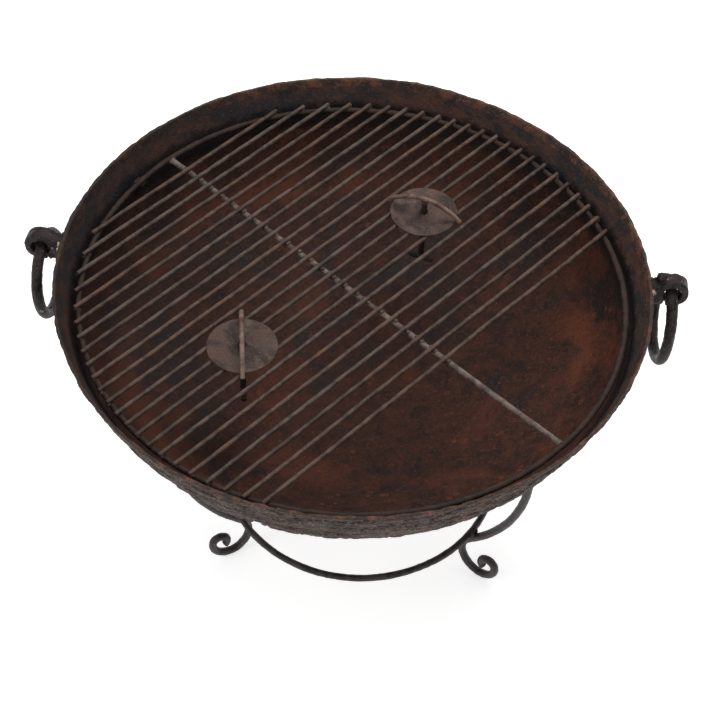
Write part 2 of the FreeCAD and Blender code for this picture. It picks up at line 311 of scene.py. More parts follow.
def outside_iron():
    """Scaly grey-brown outside, with flakes drawn out along the wall."""
    p = Paint("outside_iron")
    streaks = p.noise(0.018, 10, 0.74, 0.5, place=p.stretched(0.6, 0.6, 2.8))
    clouds = p.noise(0.07, 7, 0.6, 0.5, shift=2.0)
    grit = p.noise(0.0032, 6, 0.76, shift=9.0)
    scale = p.cells(0.009, place=p.stretched(0.7, 0.7, 1.8))
    base = p.mix(p.between(streaks, 0.38, 0.62), colour(34, 27, 25), colour(90, 74, 67))
    base = p.mix(p.maths("MULTIPLY", p.between(clouds, 0.52, 0.68), 0.8), base, colour(104, 66, 50))
    base = p.mix(p.maths("MULTIPLY", p.between(grit, 0.52, 0.66), 0.75), base, colour(156, 132, 115))
    base = p.mix(p.maths("MULTIPLY", p.between(grit, 0.48, 0.36), 0.85), base, colour(20, 16, 16))
    base = p.mix(p.maths("MULTIPLY", p.between(streaks, 0.42, 0.32), 0.8), base, colour(28, 23, 23))
    relief = p.bumps((streaks, 0.005), (p.between(scale, 0.0, 0.6), 0.0016), (grit, 0.0012))
    return p.finish(base, p.blend_values(streaks, 0.5, 0.85), relief, 0.3)


def lip_iron():
    """The rubbed edge of the bowl: dark, with orange-brown where the scale has worn through."""
    p = Paint("lip_iron")
    wear = p.noise(0.03, 9, 0.7, 0.4)
    grit = p.noise(0.0035, 6, 0.74, shift=4.0)
    base = p.mix(p.between(wear, 0.44, 0.64), colour(50, 38, 34), colour(108, 68, 50))
    # Light specks on the lip: grit, partly painted highlights of the rubbed crest.
    base = p.mix(p.maths("MULTIPLY", p.between(grit, 0.54, 0.7), 0.7), base, colour(158, 110, 85))
    # Painted shade: the lip is darkened on the side towards -X.
    base = p.mix(p.maths("MULTIPLY", painted_shade_side(p), 0.72), base, colour(28, 22, 21))
    base = p.mix(p.maths("MULTIPLY", p.between(grit, 0.45, 0.32), 0.8), base, colour(34, 27, 26))
    relief = p.bumps((wear, 0.002), (grit, 0.0010))
    return p.finish(base, p.blend_values(wear, 0.45, 0.75), relief, 0.35)


def rod_iron(name, dark, light, rust, rust_share=0.5, gloss=0.5, specular=0.35, flecks=0.0):
    """Iron rod: a dark and a light tone in streaks, rust in patches, fine pits and tan flecks."""
    p = Paint(name)
    streaks = p.noise(0.018, 7, 0.65, 0.4)
    patches = p.noise(0.045, 7, 0.6, 0.3, shift=6.0)
    grit = p.noise(0.0022, 5, 0.7, shift=1.5)
    base = p.mix(p.between(streaks, 0.36, 0.62), dark, light)
    base = p.mix(p.between(patches, 0.74 - 0.3 * rust_share, 0.86 - 0.3 * rust_share), base, rust)
    base = p.mix(p.maths("MULTIPLY", p.between(grit, 0.52, 0.68), 0.6), base, light)
    base = p.mix(p.maths("MULTIPLY", p.between(grit, 0.47, 0.35), 0.8), base, dark)
    if flecks:
        sparse = p.noise(0.007, 4, 0.6, shift=14.0)
        base = p.mix(p.maths("MULTIPLY", p.between(sparse, 0.64, 0.70), flecks), base, colour(176, 146, 122))
    shine = p.blend_values(p.between(streaks, 0.35, 0.7), gloss, min(gloss + 0.25, 0.95))
    return p.finish(base, shine, p.bumps((streaks, 0.0010), (grit, 0.0008)), specular)


def guard_iron():
    """Rubbed sheet disc: brown with dark stains and soft cloudy wear."""
    p = Paint("guard_iron")
    clouds = p.noise(0.03, 7, 0.6, 0.8)
    grit = p.noise(0.0026, 6, 0.75, shift=2.5)
    rubbed = p.noise(0.05, 6, 0.6, 0.3, shift=8.5)
    base = p.mix(p.between(clouds, 0.40, 0.60), colour(44, 31, 26), colour(80, 60, 52))
    base = p.mix(p.maths("MULTIPLY", p.between(rubbed, 0.50, 0.64), 0.7), base, colour(104, 83, 74))
    base = p.mix(p.maths("MULTIPLY", p.between(grit, 0.52, 0.68), 0.6), base, colour(124, 98, 84))
    base = p.mix(p.maths("MULTIPLY", p.between(grit, 0.47, 0.35), 0.7), base, colour(42, 32, 28))
    relief = p.bumps((clouds, 0.0014), (grit, 0.0007))
    return p.finish(base, p.blend_values(clouds, 0.45, 0.7), relief, 0.3)


def weld_iron(name, dark, light):
    p = Paint(name)
    lumps = p.noise(0.004, 6, 0.7, 0.6)
    base = p.mix(p.between(lumps, 0.38, 0.64), dark, light)
    return p.finish(base, 0.75, p.bumps((lumps, 0.0009)), 0.4)


INSIDE = inside_iron()
OUTSIDE = outside_iron()
LIP = lip_iron()
GUARD = guard_iron()
BAR_TONES = [
    rod_iron("bar_grey", colour(54, 43, 38), colour(98, 83, 74), colour(92, 62, 46), 0.3, 0.5),
    rod_iron("bar_brown", colour(50, 38, 33), colour(92, 73, 62), colour(98, 64, 46), 0.4, 0.5),
    rod_iron("bar_warm", colour(54, 40, 34), colour(100, 79, 67), colour(108, 70, 50), 0.5, 0.5),
]
CROSS_ROD = rod_iron("cross_rod", colour(72, 59, 52), colour(124, 110, 101), colour(104, 72, 54), 0.4, 0.5)
GRATE_RING = rod_iron(
    "grate_ring_rod", colour(30, 22, 19), colour(64, 48, 40), colour(70, 44, 34), 0.4, 0.6, 0.3)
GRIP = rod_iron("grip_rod", colour(74, 54, 44), colour(134, 110, 96), colour(110, 72, 53), 0.5, 0.42)
STEM = rod_iron("stem_rod", colour(36, 28, 25), colour(64, 50, 43), colour(76, 50, 38), 0.4, 0.6, 0.3)
FORGED = rod_iron(
    "forged_iron", colour(9, 7, 8), colour(58, 48, 48), colour(84, 62, 52), 0.3, 0.34, 0.14, 0.6)
STAND = rod_iron(
    "stand_iron", colour(20, 16, 17), colour(66, 56, 58), colour(78, 54, 45), 0.45, 0.3, 0.3, 0.25)
GRATE_WELD = weld_iron("grate_weld", colour(54, 41, 35), colour(104, 84, 71))
EYE_WELD = weld_iron("eye_weld", colour(46, 35, 30), colour(118, 92, 74))
# Light tan colour for the lumps beside an eye's root: a painted highlight.
EYE_ROOT_HIGHLIGHT = weld_iron("eye_root_highlight", colour(104, 80, 62), colour(204, 170, 138))
STAND_WELD = weld_iron("stand_weld", colour(32, 26, 25), colour(66, 52, 46))


# ---------------------------------------------------------------- mesh making

def piece(name, points, faces, materials, body, node=None, material_of_face=None):
    """A smooth mesh that rides on a body, and stands for a CAD node if one is named."""
    points = np.asarray(points, float)
    if body == "stand":
        points = points + np.array(STAND_CENTRE)
    else:
        points = points @ np.array(TIP.to_3x3()).T + np.array(TIP.translation)
    mesh = bpy.data.meshes.new(name)
    mesh.from_pydata(points.tolist(), [], [list(map(int, f)) for f in faces])
    for material in materials:
        mesh.materials.append(material)
    mesh.polygons.foreach_set("use_smooth", [True] * len(mesh.polygons))
    if material_of_face is not None:
        mesh.polygons.foreach_set("material_index", material_of_face)
    mesh.update()
    made = bpy.data.objects.new(name, mesh)
    bpy.context.scene.collection.objects.link(made)
    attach(made, body)
    if node:
        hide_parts(node)
    return made


def grid_faces(rows, columns, wrap_rows=False):
    """Quads over a grid of points whose columns always close on themselves."""
    row = np.arange(rows if wrap_rows else rows - 1)
    column = np.arange(columns)
    r, c = (a.ravel() for a in np.meshgrid(row, column, indexing="ij"))
    up = (r + 1) % rows
    along = (c + 1) % columns
    return np.stack([r * columns + c, r * columns + along, up * columns + along, up * columns + c], 1)


def normals_of(points, faces):
    """Outward normal at each point of a mesh of quads."""
    corners = points[faces]
    across = np.cross(corners[:, 2] - corners[:, 0], corners[:, 3] - corners[:, 1])
    total = np.zeros_like(points)
    for k in range(4):
        np.add.at(total, faces[:, k], across)
    return total / np.maximum(np.linalg.norm(total, axis=1), 1e-12)[:, None]


def rod_surface(path, radius, binormal, sides, closed, wobble, pitting, seed):
    """Points and faces of a rod along a flat path, with uneven thickness, pits and softened ends."""
    path = np.asarray(path, float)
    binormal = np.asarray(binormal, float)
    if closed:
        tangent = np.roll(path, -1, 0) - np.roll(path, 1, 0)
    else:
        tangent = np.gradient(path, axis=0)
    tangent /= np.linalg.norm(tangent, axis=1)[:, None]
    side = np.cross(binormal, tangent)
    shift = rough(path, 0.12, 2, seed) * 2
    path = path + side * (shift * wobble)[:, None]
    thickness = np.full(len(path), radius)
    thickness *= 1 + 0.05 * rough(path, 0.03, 3, seed + 5)
    if not closed:
        path, tangent, side, thickness = with_ends(path, tangent, side, thickness, radius)
    angle = np.linspace(0, 2 * np.pi, sides, endpoint=False)
    ring = np.cos(angle)[None, :, None] * side[:, None, :] + np.sin(angle)[None, :, None] * binormal
    points = (path[:, None, :] + ring * thickness[:, None, None]).reshape(-1, 3)
    faces = grid_faces(len(path), sides, closed)
    pits = rough(points, 0.006, 3, seed + 9)
    points = points + ring.reshape(-1, 3) * (pits * pitting)[:, None]
    faces = faces[:, ::-1].tolist()
    if not closed:
        count = len(points)
        faces.append(list(range(sides)))
        faces.append(list(range(count - 1, count - sides - 1, -1)))
    return points, faces


def with_ends(path, tangent, side, thickness, radius):
    """Adds narrower rings just inside both ends, so that a cut end has a worn edge."""
    starts, ends = [], []
    for inward, share in ((0.0, 0.70), (0.06, 0.88)):
        starts.append((path[0] + tangent[0] * radius * inward, share))
        ends.insert(0, (path[-1] - tangent[-1] * radius * inward, share))
    inner_start = path[0] + tangent[0] * radius * 0.25
    inner_end = path[-1] - tangent[-1] * radius * 0.25
    middle_part = path.copy()
    middle_part[0], middle_part[-1] = inner_start, inner_end
    full = np.concatenate([[s[0] for s in starts], middle_part, [e[0] for e in ends]])
    shares = np.concatenate([[s[1] for s in starts], np.ones(len(path)), [e[1] for e in ends]])
    index = np.clip(np.arange(len(full)) - len(starts), 0, len(path) - 1)
    return full, tangent[index], side[index], thickness[index] * shares


def rod(name, path, radius, binormal, material, body, node, closed=False,
        sides=20, wobble=0.0, pitting=0.0002, seed=0.0):
    points, faces = rod_surface(path, radius, binormal, sides, closed, wobble, pitting, seed)
    return piece(name, points, faces, [material], body, node)


def hoop_path(radius, height, step):
    count = int(2 * math.pi * radius / step)
    angle = np.linspace(0, 2 * np.pi, count, endpoint=False)
    return np.stack([radius * np.cos(angle), radius * np.sin(angle), np.full(count, height)], 1)


def straight_path(start, end, step):
    count = max(4, int((end - start).length / step))
    share = np.linspace(0, 1, count)[:, None]
    return np.asarray(start)[None] * (1 - share) + np.asarray(end)[None] * share


def unit_ball():
    """Points and faces of a small ball of radius 1."""
    ball = bmesh.new()
    bmesh.ops.create_icosphere(ball, subdivisions=2, radius=1.0)
    points = np.array([v.co for v in ball.verts])
    faces = [[v.index for v in f.verts] for f in ball.faces]
    ball.free()
    return points, faces


BALL, BALL_FACES = unit_ball()


def turned_ball(radii, turn):
    """The ball drawn out to three radii, then turned about Z."""
    c, s = math.cos(turn), math.sin(turn)
    return (BALL * np.asarray(radii)) @ np.array([[c, s, 0], [-s, c, 0], [0, 0, 1]])


def lumps(name, places, material, body, slot_name, voxel, smooth=3):
    """Weld metal: overlapping balls, each (centre, three radii, turn about Z), fused into one skin."""
    points, faces = [], []
    for centre, radii, turn in places:
        start = len(points) * len(BALL)
        points.append(turned_ball(radii, turn) + np.asarray(centre))
        faces += [[i + start for i in f] for f in BALL_FACES]
    made = piece(name, np.concatenate(points), faces, [material], body)
    fuse(made, voxel, smooth)
    return made


def fuse(made, voxel, smooth):
    """Turns overlapping closed forms into one soft skin and keeps the result as the mesh."""
    remesh = made.modifiers.new("fuse", "REMESH")
    remesh.mode = "VOXEL"
    remesh.voxel_size = voxel
    remesh.use_smooth_shade = True
    soften = made.modifiers.new("soften", "SMOOTH")
    soften.factor = 0.5
    soften.iterations = smooth
    keep_result(made)


def keep_result(made):
    graph = bpy.context.evaluated_depsgraph_get()
    mesh = bpy.data.meshes.new_from_object(made.evaluated_get(graph), depsgraph=graph)
    made.modifiers.clear()
    made.data = mesh


def roughen(made, size, depth, octaves=3, shift=0.0):
    """Moves each point along its normal by layered noise."""
    mesh = made.data
    points = np.zeros(len(mesh.vertices) * 3)
    normals = np.zeros(len(mesh.vertices) * 3)
    mesh.vertices.foreach_get("co", points)
    mesh.vertex_normals.foreach_get("vector", normals)
    points, normals = points.reshape(-1, 3), normals.reshape(-1, 3)
    points += normals * (rough(points, size, octaves, shift) * depth)[:, None]
    mesh.vertices.foreach_set("co", points.ravel())
    mesh.update()


# ---------------------------------------------------------------- bowl

def bowl_profile(inset, steps):
    """(distance, height) points of one side of the shell, from the base to the lip."""
    slopes = [math.radians(s) for s in (LIP_SLOPE, KNUCKLE_SLOPE, BASE_SLOPE)]
    wall = np.array([RIM_RADIUS - WALL_RADIUS * math.cos(slopes[0]),
                     RIM_HEIGHT + WALL_RADIUS * math.sin(slopes[0])])
    knuckle = wall + (WALL_RADIUS - KNUCKLE_RADIUS) * np.array([math.cos(slopes[1]), -math.sin(slopes[1])])
    base_shift = knuckle[0] / math.cos(slopes[2])
    base = knuckle + base_shift * np.array([-math.cos(slopes[2]), math.sin(slopes[2])])
    lip = math.asin((wall[1] - RIM_HEIGHT + 1.2 * MM) / (WALL_RADIUS - inset))
    arcs = [
        (base, KNUCKLE_RADIUS + base_shift - inset, math.radians(89.4), slopes[2]),
        (knuckle, KNUCKLE_RADIUS - inset, slopes[2], slopes[1]),
        (wall, WALL_RADIUS - inset, slopes[1], lip),
    ]
    points = []
    for (centre, radius, start, end), count in zip(arcs, steps):
        for angle in np.linspace(start, end, count, endpoint=False):
            points.append(centre + radius * np.array([math.cos(angle), -math.sin(angle)]))
    points.append(centre + radius * np.array([math.cos(lip), -math.sin(lip)]))
    return np.array(points)


def step_up(value, low, high):
    """0 below low, 1 above high, and a steep ramp between."""
    share = np.clip((value - low) / (high - low), 0, 1)
    return share * share * (3 - 2 * share)


def make_bowl():
    columns = 800
    outer = bowl_profile(0, (16, 16, 44))
    inner = bowl_profile(SHELL, (10, 10, 16))
    out_lip, in_lip = outer[-1], inner[-1]
    crown = [out_lip * (1 - s) + in_lip * s + np.array([0, h]) for s, h in
             ((0.1, 0.7 * MM), (0.3, 1.15 * MM), (0.5, 1.2 * MM), (0.7, 1.15 * MM), (0.9, 0.7 * MM))]
    profile = np.concatenate([outer, crown, inner[::-1]])
    zone = np.concatenate([np.zeros(len(outer) - 2), np.ones(len(crown) + 4), np.full(len(inner) - 2, 2)])
    angle = np.linspace(0, 2 * np.pi, columns, endpoint=False)
    radius = profile[:, 0][:, None]
    points = np.stack([radius * np.cos(angle), radius * np.sin(angle),
                       np.repeat(profile[:, 1][:, None], columns, 1)], 2).reshape(-1, 3)
    faces = grid_faces(len(profile), columns)
    normals = normals_of(points, faces)
    row = np.repeat(np.arange(len(profile)), columns)
    is_outer = zone[row] == 0
    is_lip = zone[row] == 1
    drawn = points * np.array([0.6, 0.6, 1.9])
    plates = rough(drawn, 0.032, 5, 3.0)
    thin_plates = rough(drawn, 0.014, 4, 8.0)
    dents = rough(points, 0.09, 2, 1.0)
    scale = step_up(plates, -0.02, 0.05) * 1.8 * MM + step_up(thin_plates, 0.0, 0.06) * 0.9 * MM
    scale += (plates * 1.6 + rough(points, 0.007, 3, 4.0) * 1.1) * MM - 1.4 * MM
    across = np.hypot(points[:, 0], points[:, 1])
    at_rest = np.exp(-((across - (size_of("stand_top_ring").y / 2 - 6 * MM)) / 0.022) ** 2)
    scale = np.where(scale > 0, scale * (1 - at_rest), scale)
    depth = dents * 0.8 * MM
    depth = np.where(is_outer, depth * (1 - at_rest) + scale, depth)
    depth += np.where(is_lip, rough(points, 0.016, 5, 5.0) * 2.0 * MM, 0)
    depth += np.where(~is_outer & ~is_lip, rough(points, 0.03, 4, 6.0) * 0.7 * MM, 0)
    points = points + normals * depth[:, None]
    sway = rough(points * np.array([1, 1, 0]), 0.12, 3, 14.0) * 2.2 * MM
    near_lip = np.clip((points[:, 2] - RIM_HEIGHT + 0.03) / 0.03, 0, 1)
    points[:, 2] += sway * near_lip
    last = len(points)
    points = np.concatenate([points, [[0, 0, profile[0, 1]], [0, 0, profile[-1, 1]]]])
    all_faces = faces.tolist()
    ends = len(profile) * columns - columns
    all_faces += [[last, (c + 1) % columns, c] for c in range(columns)]
    all_faces += [[last + 1, ends + c, ends + (c + 1) % columns] for c in range(columns)]
    face_zone = np.concatenate([zone[faces[:, 0] // columns], np.zeros(columns), np.full(columns, 2)])
    piece("bowl_iron", points, all_faces, [OUTSIDE, LIP, INSIDE], "bowl", "bowl_shell",
          face_zone.astype(int))


# ---------------------------------------------------------------- handles

def prism(outline, azimuth, half_width):
    """Closed solid over a (distance, height, share of the half width) outline, across a radius."""
    out, across = np.array(polar(1, azimuth, 0)), np.array(polar(1, azimuth + 90, 0))
    count = len(outline)
    points = []
    for side in (-1, 1):
        for distance, height, share in outline:
            points.append(out * distance + across * (side * share * half_width) + np.array([0, 0, height]))
    faces = [list(range(count)), list(range(2 * count - 1, count - 1, -1))]
    faces += [[k, k + count, (k + 1) % count + count, (k + 1) % count] for k in range(count)]
    return points, faces


def joined(*solids):
    points, faces = [], []
    for more_points, more_faces in solids:
        start = len(points)
        points += list(more_points)
        faces += [[i + start for i in f] for f in more_faces]
    return points, faces


def eye_outlines():
    """The curl of the strap, and its root that runs to the bowl's wall, in the plane of a radius."""
    height = RIM_HEIGHT - EYE_DROP
    start, end = math.radians(-112), math.radians(236)
    sweep = np.linspace(start, end, 48)
    thick = np.linspace(0.94, 1.0, 48)
    curl = [(EYE_REACH + EYE_CURL_RADIUS * t * math.cos(a), height + EYE_CURL_RADIUS * t * math.sin(a), 1.0)
            for a, t in zip(sweep, thick)]
    curl += [(EYE_REACH + EYE_HOLE_RADIUS * math.cos(a), height + EYE_HOLE_RADIUS * math.sin(a), 1.0)
             for a in sweep[::-1]]
    side = EYE_REACH - EYE_HOLE_RADIUS
    top, low = RIM_HEIGHT - 4.5 * MM, RIM_HEIGHT - 37 * MM
    root = [(wall_distance(top) - 2 * MM, top, 1.35), (EYE_REACH - 18 * MM, top + 5 * MM, 1.05),
            (EYE_REACH - 6 * MM, height + 20 * MM, 1.0), (EYE_REACH - 8 * MM, height + 14.5 * MM, 1.0),
            (side, height + 4 * MM, 1.0), (side - 1 * MM, height - 6 * MM, 1.0),
            (side - 3.5 * MM, height - 15 * MM, 1.1), (wall_distance(low) - 0.5 * MM, low, 1.35),
            (wall_distance(low) - 2.5 * MM, low, 1.35)]
    return curl, root


def make_eye(side):
    """Forged strap curled into an eye, soft-edged and hammered, with weld at its root and light tan lumps on
    its near side, coloured as a painted highlight.
    """
    node = "eye_" + side
    azimuth = HANDLE_AZIMUTH[side]
    curl, root = eye_outlines()
    solids = [prism(curl, azimuth, EYE_WIDTH / 2), prism(root, azimuth, EYE_WIDTH / 2)]
    if side == "right":
        lump = polar(EYE_REACH - 15 * MM, azimuth, RIM_HEIGHT + 4 * MM)
        lump += polar(5 * MM, azimuth + 90, 0)
        solids.append((BALL * EYE_LUMP + np.asarray(lump), BALL_FACES))
    points, faces = joined(*solids)
    made = piece(node + "_strap", points, faces, [FORGED], "bowl", node)
    fuse(made, 1.0 * MM, 7)
    roughen(made, 0.016, 1.6 * MM, 3, 2.0)
    roughen(made, 0.004, 0.5 * MM, 2, 5.0)
    out = polar(1, azimuth, 0)
    across = polar(1, azimuth + 90, 0)
    places = []
    spots = random_source.uniform(-1, 1, size=(70, 3))
    for k, (a, b, c) in enumerate(spots):
        drop = (6 + 31 * k / len(spots)) * MM
        edge = (12.6 + 1.2 * a) * MM * (1 if k % 2 else -1)
        place = out * (wall_distance(RIM_HEIGHT - drop) + (1.5 + 1.5 * b) * MM) + across * edge
        place.z = RIM_HEIGHT - drop
        places.append((place, [(3.0 + c) * MM] * 3, 0.0))
    for k in range(16):
        drop = (37 + 2 * spots[k, 0]) * MM
        place = out * (wall_distance(RIM_HEIGHT - drop) + 2 * MM) + across * ((-13.5 + 1.8 * k) * MM)
        place.z = RIM_HEIGHT - drop
        places.append((place, [(3.2 + spots[k, 1]) * MM] * 3, 0.0))
    weld = lumps("eye_weld_" + side, places, EYE_WELD, "bowl", "forged_handle", 0.8 * MM)
    roughen(weld, 0.006, 1.2 * MM, 2)
    # Light tan lumps on the wall beside the root's near side, coloured as a painted highlight.
    near = -1 if side == "right" else 1
    places = []
    for a, b, c in random_source.uniform(-1, 1, size=(60, 3)):
        drop = (15 + 13 * a) * MM
        place = polar(wall_distance(RIM_HEIGHT - drop) + (0.8 + 0.5 * c) * MM, azimuth, RIM_HEIGHT - drop)
        place += polar((17 + 7 * b + 5 * a) * MM, azimuth + 90 * near, 0)
        places.append((place, [(2.4 + 0.6 * c) * MM] * 3, 0.0))
    scale = lumps("eye_root_highlight_" + side, places, EYE_ROOT_HIGHLIGHT, "bowl", "forged_handle", 0.8 * MM)
    roughen(scale, 0.005, 1.5 * MM, 2)


def make_lug(node, azimuth):
    """Small worn shelf on the inside of the wall, with a bead of weld behind it."""
    top = RIM_HEIGHT - LUG_DROP
    low = top - LUG_THICKNESS
    reach = wall_distance((top + low) / 2) - SHELL - 0.6 * MM
    outline = [(LUG_REACH, top, 1), (LUG_REACH, low, 1), (reach, low, 1), (reach, top, 1)]
    points, faces = prism(outline, azimuth, LUG_HALF_WIDTH)
    made = piece(node.replace("grate", "support"), points, faces, [STAND_WELD], "bowl", node)
    fuse(made, 0.5 * MM, 3)
    roughen(made, 0.006, 0.3 * MM, 2, azimuth)
    places = []
    for k, (a, b, c) in enumerate(random_source.uniform(-1, 1, size=(9, 3))):
        place = polar(reach - (0.6 + 0.6 * a) * MM, azimuth, low - (0.6 + 0.5 * b) * MM)
        place += polar((-6 + 1.5 * k) * MM, azimuth + 90, 0)
        places.append((place, [(1.9 + 0.4 * c) * MM] * 3, 0.0))
    lumps(node.replace("grate", "support") + "_weld", places, STAND_WELD, "bowl", "bowl_iron", 0.6 * MM)


def wall_distance(height):
    """Distance from the axis to the outside of the bowl's upper wall, at a height."""
    slope = math.radians(LIP_SLOPE)
    x = RIM_RADIUS - WALL_RADIUS * math.cos(slope)
    z = RIM_HEIGHT + WALL_RADIUS * math.sin(slope)
    return x + math.sqrt(WALL_RADIUS ** 2 - (z - height) ** 2)


def make_ring(side):
    node = "ring_" + side
    centre = upright(node)
    azimuth = HANDLE_AZIMUTH[side]
    across = np.array(polar(1, azimuth + 90, 0))
    out = np.array(polar(1, azimuth, 0))
    up = out * math.sin(RING_LEAN) + np.array([0, 0, math.cos(RING_LEAN)])
    normal = out * math.cos(RING_LEAN) - np.array([0, 0, math.sin(RING_LEAN)])
    angle = np.linspace(0, 2 * np.pi, 170, endpoint=False)[:, None]
    path = np.array(centre) + RING_RADIUS * (np.cos(angle) * across + np.sin(angle) * up)
    rod("handle_ring_" + side, path, RING_ROD, normal, FORGED, "handle_" + side, node,
        closed=True, sides=30, pitting=0.7 * MM, seed=azimuth)


# ---------------------------------------------------------------- grate

BAR_ALONG = polar(1, BAR_DIRECTION, 0)
BAR_ACROSS = polar(1, BAR_DIRECTION - 90, 0)


def bar_line(node, reach, along, across):
    """Ends of a straight rod of the grate, whose ends lie on a circle about the bowl's axis."""
    centre = upright(node)
    offset = centre.dot(across)
    half = math.sqrt(reach ** 2 - offset ** 2)
    foot = Vector((0, 0, centre.z)) + across * offset
    return foot - along * half, foot + along * half


def make_grate():
    ring_radius = size_of("grate_ring").y / 2 - FRAME_ROD
    ring_height = upright("grate_ring").z
    rod("grate_hoop", hoop_path(ring_radius, ring_height, 5 * MM), FRAME_ROD, (0, 0, 1), GRATE_RING,
        "grate", "grate_ring", closed=True, wobble=0.6 * MM, sides=18, pitting=0.5 * MM)
    cross_ends = bar_line("grate_crossbar", ring_radius - FRAME_ROD, BAR_ACROSS, BAR_ALONG)
    rod("grate_cross_rod", straight_path(*cross_ends, 4 * MM), FRAME_ROD, (0, 0, 1), CROSS_ROD,
        "grate", "grate_crossbar", wobble=0.8 * MM, sides=18, pitting=0.6 * MM, seed=4.0)
    bar_reach = ring_radius + FRAME_ROD + BAR_OVERHANG
    tones = random_source.integers(0, len(BAR_TONES), BAR_COUNT)
    cross_welds, end_welds = [], []
    cross_along = upright("grate_crossbar").dot(BAR_ALONG)
    turn = math.radians(BAR_DIRECTION)
    for index in range(BAR_COUNT):
        node = "grate_bar_%02d" % (index + 1)
        start, end = bar_line(node, bar_reach, BAR_ALONG, BAR_ACROSS)
        rod("grate_rod_%02d" % (index + 1), straight_path(start, end, 5 * MM), BAR_ROD, (0, 0, 1),
            BAR_TONES[tones[index]], "grate", node, wobble=0.7 * MM, sides=14,
            pitting=0.35 * MM, seed=float(index))
        offset = upright(node).dot(BAR_ACROSS)
        crossing = BAR_ACROSS * offset + BAR_ALONG * cross_along
        for side in (-1, 1):
            for sway in random_source.uniform(-1, 1, size=(3, 3)):
                place = crossing + BAR_ACROSS * (side * (3.6 + 1.2 * sway[0]) * MM)
                place += BAR_ALONG * (1.6 * sway[1] * MM)
                place.z = ring_height + (3.4 + 0.8 * sway[2]) * MM
                cross_welds.append((place, [3.2 * MM, 4.2 * MM, 2.4 * MM], turn))
        for tip, inward in ((start, 1), (end, -1)):
            for sway in random_source.uniform(-1, 1, size=(2, 3)):
                place = tip + BAR_ALONG * (inward * (3.5 + 2.0 * sway[0]) * MM)
                place += BAR_ACROSS * (2.2 * sway[1] * MM)
                place.z = ring_height + (3.4 + sway[2]) * MM
                end_welds.append((place, [3.6 * MM, 3.0 * MM, 2.2 * MM], turn))
    for tip, inward in zip(cross_ends, (1, -1)):
        for sway in random_source.uniform(-1, 1, size=(5, 3)):
            place = tip + BAR_ACROSS * (inward * 1.5 * MM) + BAR_ALONG * (4.0 * sway[1] * MM)
            place.z = ring_height + 2.5 * sway[2] * MM
            end_welds.append((place, [3.0 * MM, 3.4 * MM, 2.6 * MM], turn))
    lumps("grate_cross_welds", cross_welds, GRATE_WELD, "grate", "grate_frame", 0.9 * MM)
    lumps("grate_end_welds", end_welds, GRATE_WELD, "grate", "grate_frame", 0.9 * MM)


# ---------------------------------------------------------------- lifters

def make_guard(name):
    """Thin disc with a worn edge, faintly dished, with a loose hole for the stem."""
    node = name + "_lifter_guard"
    centre = upright(node)
    top = [(GUARD_HOLE, 0.6), (GUARD_HOLE + 0.8 * MM, 1.0)]
    top += [(GUARD_HOLE + (GUARD_RADIUS - GUARD_HOLE) * s, 1.0) for s in np.linspace(0.06, 0.96, 22)]
    top += [(GUARD_RADIUS - 0.7 * MM, 0.92), (GUARD_RADIUS, 0.3)]
    profile = np.array(top + [(r, -s) for r, s in top[::-1]])
    columns = 128
    angle = np.linspace(0, 2 * np.pi, columns, endpoint=False)
    radius = profile[:, 0][:, None] * np.ones(columns)
    level = profile[:, 1][:, None] * GUARD_HALF * np.ones(columns)
    points = np.stack([radius * np.cos(angle), radius * np.sin(angle), level], 2).reshape(-1, 3)
    points += np.array(centre)
    buckle = rough(points * np.array([1, 1, 0]), 0.05, 3, 2.0 if name == "front" else 6.0)
    points[:, 2] += np.clip(buckle, -0.2, 0.5) * 1.2 * MM
    faces = grid_faces(len(profile), columns, True)
    piece(name + "_guard_disc", points, faces, [GUARD], name + "_guard", node)


def make_grip(name):
    node = name + "_lifter_grip"
    direction = math.radians(GRIP_DIRECTION[name])
    along = Vector((math.cos(direction), math.sin(direction), 0))
    centre = upright(name + "_lifter_guard")
    top = centre.z + GUARD_HALF + GRIP_RISE
    half_span = GRIP_SPAN[name] / 2
    rise = GRIP_RISE - GRIP_END_RISE
    radius = (half_span ** 2 + rise ** 2) / (2 * rise)
    limit = math.asin(min(1.0, half_span / radius))
    angle = np.linspace(-limit, limit, 70)
    path = [np.array(centre + along * (radius * math.sin(a))) for a in angle]
    path = np.array(path)
    path[:, 2] = top - radius + radius * np.cos(angle)
    binormal = np.array([along.y, -along.x, 0])
    rod(name + "_grip", path, GRIP_ROD, binormal, GRIP, name + "_lifter", node,
        wobble=1.0 * MM, pitting=0.6 * MM, seed=3.0 if name == "front" else 8.0, sides=22)


